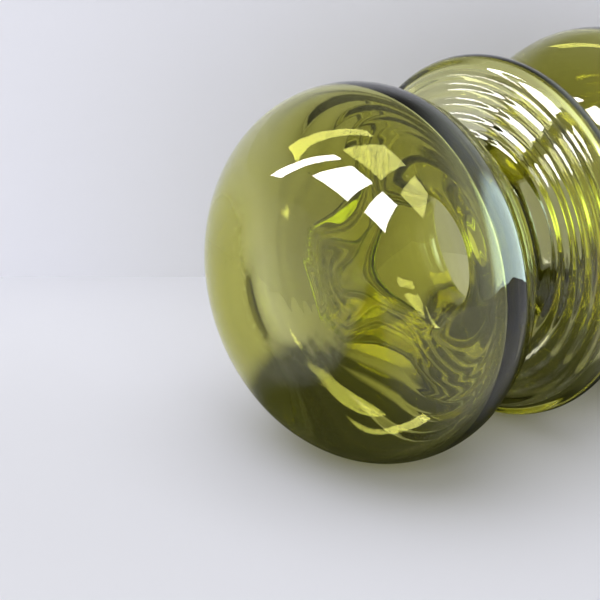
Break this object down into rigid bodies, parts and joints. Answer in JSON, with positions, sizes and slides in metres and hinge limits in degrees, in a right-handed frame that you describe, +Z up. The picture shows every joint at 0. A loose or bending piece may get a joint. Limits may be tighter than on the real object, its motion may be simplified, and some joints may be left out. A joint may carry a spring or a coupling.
{
  "type": "glass vase",
  "caption": "Olive-green mould-blown glass vase: a round base bulb, a ring rippled on its lower face and an upper bulb on one axis, joined by narrow waists, under a short flared mouth.",
  "frame": {"origin": "centre of the foot, on the surface that the vase stands on", "axes": "+Z up along the vase's axis of revolution, from foot to mouth; X and Y are alike"},
  "size_m": [0.1212, 0.1212, 0.208],
  "materials": {
    "olive_glass": "clear olive-green soda glass, mould-blown and fire-polished, with faint seeds, tool marks and a worn foot"
  },
  "bodies": {
    "root": {"vase_body": "olive_glass"}
  },
  "joints": []
}
